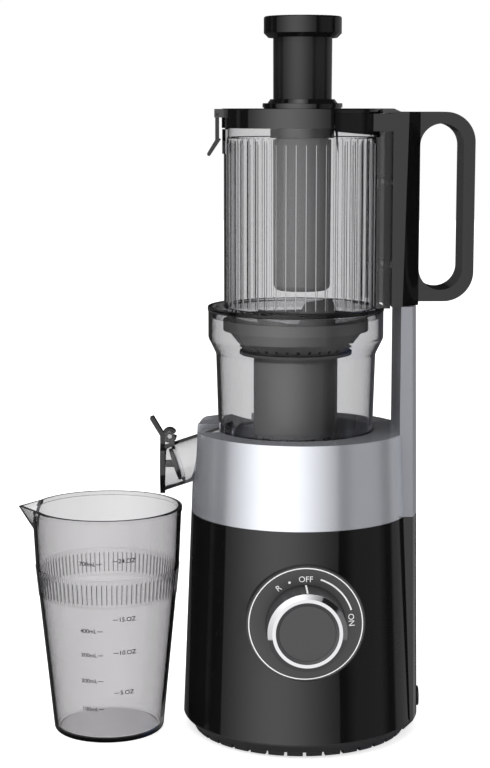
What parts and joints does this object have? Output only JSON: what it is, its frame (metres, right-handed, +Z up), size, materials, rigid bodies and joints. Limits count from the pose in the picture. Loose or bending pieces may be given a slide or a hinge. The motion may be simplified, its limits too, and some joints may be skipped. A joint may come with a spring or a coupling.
{
  "type": "cold press juicer",
  "caption": "Upright cold press juicer with a ribbed clear hopper, side handle, front dial, capped juice spout and a separate measuring cup.",
  "frame": {"origin": "on the table, in the middle of the footprint of the juicer and its cup", "axes": "+Z up, the dial faces -Y, the handle is towards +X, the juice spout and the cup are towards -X"},
  "size_m": [0.3156, 0.187, 0.4995],
  "materials": {
    "black_gloss": "gloss",
    "black_matte": "matte",
    "dial_dark": "satin",
    "dark_plastic": "satin",
    "silver_plastic": "satin",
    "clear_plastic": "gloss",
    "cup_plastic": "gloss",
    "white_plastic": "satin",
    "board": "satin",
    "chrome": "polished",
    "steel": "brushed",
    "brass": "satin",
    "rubber": "matte"
  },
  "bodies": {
    "base": {"base_housing": "black_gloss", "base_plate": "black_matte", "rubber_feet": "rubber", "housing_screws": "steel", "cord_gland": "rubber", "collar": "silver_plastic", "mast": "silver_plastic", "reed_sensor": "black_matte", "dial_plate": "dial_dark", "rotary_switch": "black_matte", "motor_can": "steel", "motor_screws": "steel", "gearbox_housing": "black_matte", "gearbox_lid": "black_matte", "gearbox_screws": "steel", "shaft_bush": "brass", "idler_pin": "steel", "control_board": "board"},
    "knob": {"knob_body": "dial_dark", "knob_bezel": "chrome", "knob_face": "dial_dark", "knob_spindle": "steel"},
    "rotor": {"motor_rotor": "steel", "motor_shaft": "steel"},
    "idler": {"idler_gear": "white_plastic"},
    "drive": {"drive_gear": "white_plastic", "drive_shaft": "steel"},
    "bowl": {"juice_bowl": "clear_plastic", "shaft_seal": "rubber", "pulp_seal": "rubber", "pulp_chute": "silver_plastic", "cap_hinge_pin": "steel", "strainer_basket": "dark_plastic", "strainer_mesh": "steel"},
    "auger_set": {"auger": "dark_plastic", "auger_insert": "steel"},
    "cap": {"spout_cap": "black_gloss", "cap_seal": "rubber"},
    "hopper_set": {"hopper": "clear_plastic", "rim_band": "black_gloss", "hub": "black_gloss", "hub_screws": "steel", "safety_magnet": "steel", "handle_grip": "black_gloss"},
    "lid_pin": {"lid_hinge_pin": "steel"},
    "lid_set": {"lid": "black_gloss", "latch_pin": "black_matte"},
    "latch": {"lid_latch": "black_gloss"},
    "pusher": {"pusher_tube": "black_gloss", "pusher_cap": "black_gloss"},
    "cup": {"juice_cup": "cup_plastic"}
  },
  "joints": [
    {"name": "knob_turn", "type": "hinge", "parent": "base", "child": "knob", "pos_m": [0.04015, -0.07955, 0.0948], "axis": [0, 1, 0], "range_deg": [-30, 80]},
    {"name": "rotor_spin", "type": "hinge", "parent": "base", "child": "rotor", "pos_m": [0.03675, 0.01095, 0.08], "axis": [0, 0, 1], "continuous": true},
    {"name": "idler_spin", "type": "hinge", "parent": "base", "child": "idler", "pos_m": [0.06675, 0.01095, 0.137], "axis": [0, 0, 1], "continuous": true},
    {"name": "drive_spin", "type": "hinge", "parent": "base", "child": "drive", "pos_m": [0.03675, 0.01095, 0.142], "axis": [0, 0, 1], "continuous": true},
    {"name": "bowl_lift", "type": "slide", "parent": "base", "child": "bowl", "axis": [0, 0, 1], "range_m": [0, 0.12]},
    {"name": "auger_spin", "type": "hinge", "parent": "bowl", "child": "auger_set", "pos_m": [0.03675, 0.01095, 0.22], "axis": [0, 0, 1], "continuous": true},
    {"name": "spout_cap_swing", "type": "hinge", "parent": "bowl", "child": "cap", "pos_m": [-0.05145, 0.01095, 0.21], "axis": [0, 1, 0], "range_deg": [0, 100]},
    {"name": "hopper_lift", "type": "slide", "parent": "bowl", "child": "hopper_set", "axis": [0, 0, 1], "range_m": [0, 0.15]},
    {"name": "lid_lift", "type": "slide", "parent": "hopper_set", "child": "lid_pin", "axis": [0, 0, 1], "range_m": [0, 0.14]},
    {"name": "lid_tilt", "type": "hinge", "parent": "lid_pin", "child": "lid_set", "pos_m": [0.11115, 0.01095, 0.4282], "axis": [0, 1, 0], "range_deg": [0, 15]},
    {"name": "latch_swing", "type": "hinge", "parent": "lid_set", "child": "latch", "pos_m": [-0.01775, 0.01095, 0.4326], "axis": [0, 1, 0], "range_deg": [0, 25]},
    {"name": "pusher_slide", "type": "slide", "parent": "lid_set", "child": "pusher", "axis": [0, 0, 1], "range_m": [0, 0.131]},
    {"name": "cup_slide", "type": "slide", "parent": "base", "child": "cup", "axis": [-1, 0, 0], "range_m": [0, 0.15]}
  ],
  "couplings": [
    {"joint": "idler_spin", "follows": "rotor_spin", "ratio": -0.25},
    {"joint": "drive_spin", "follows": "rotor_spin", "ratio": 0.0625},
    {"joint": "auger_spin", "follows": "rotor_spin", "ratio": 0.0625}
  ]
}
